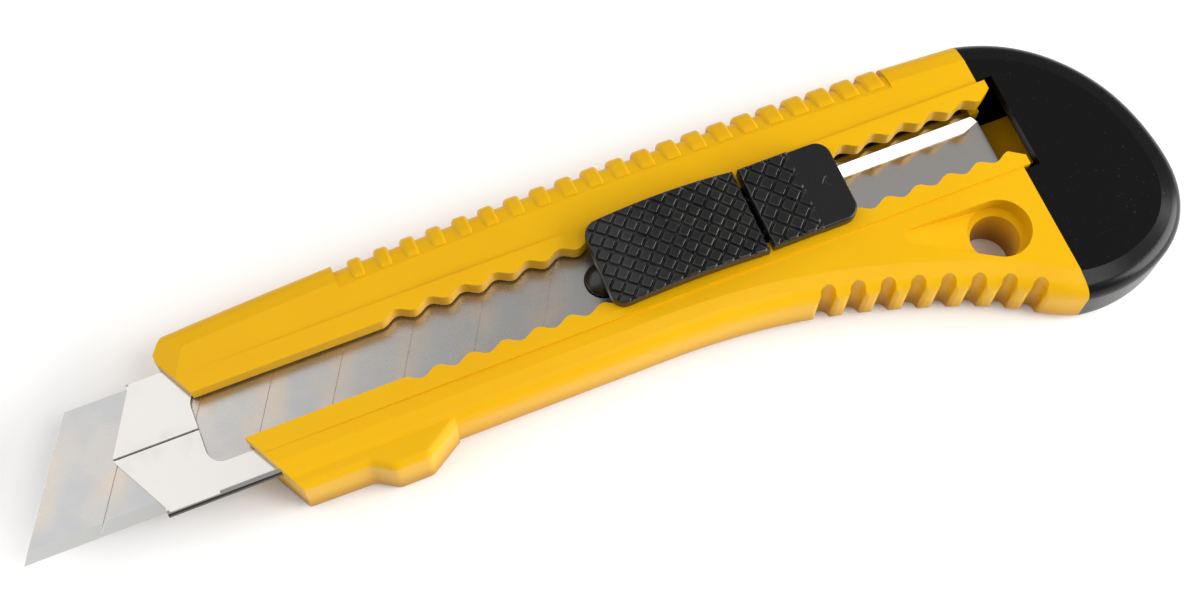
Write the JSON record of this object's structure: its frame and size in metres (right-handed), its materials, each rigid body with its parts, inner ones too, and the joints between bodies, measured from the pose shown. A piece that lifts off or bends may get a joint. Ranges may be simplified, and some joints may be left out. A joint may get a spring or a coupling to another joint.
{
  "type": "utility knife",
  "caption": "Snap-off utility knife: a scored blade slides out of a folded steel rail in a ribbed plastic handle, moved by a thumb slider with a rear lock and closed by an end cap.",
  "frame": {"origin": "centre of the bounding box, at the height of the flat back face", "axes": "+X from the blade tip back to the end cap, +Y towards the ribbed spine, +Z from the back face up through the slider"},
  "size_m": [0.1638, 0.0442, 0.0141],
  "materials": {
    "yellow_abs": "semi-gloss injection-moulded ABS",
    "rail_steel": "bright rolled stainless sheet",
    "blade_steel": "lightly oiled ground carbon steel",
    "carrier_black": "glossy black acetal",
    "button_black": "satin black moulding with knurled top",
    "lock_black": "satin black moulding with knurled top",
    "spring_steel": "blank spring strip",
    "cap_black": "glossy black ABS"
  },
  "bodies": {
    "handle": {"handle_shell": "yellow_abs", "guide_rail": "rail_steel"},
    "carriage": {"blade_carrier": "carrier_black", "slider_button": "button_black", "blade": "blade_steel", "detent_spring": "spring_steel"},
    "lock": {"lock_button": "lock_black", "lock_foot": "carrier_black"},
    "cap": {"end_cap": "cap_black"}
  },
  "joints": [
    {"name": "blade_slide", "type": "slide", "parent": "handle", "child": "carriage", "axis": [-1, 0, 0], "range_m": [-0.0235, 0.0517], "deforming": ["detent_spring"]},
    {"name": "lock_slide", "type": "slide", "parent": "carriage", "child": "lock", "axis": [-1, 0, 0], "range_m": [0, 0.0006]},
    {"name": "cap_pull", "type": "slide", "parent": "handle", "child": "cap", "axis": [1, 0, 0], "range_m": [0, 0.016]}
  ]
}
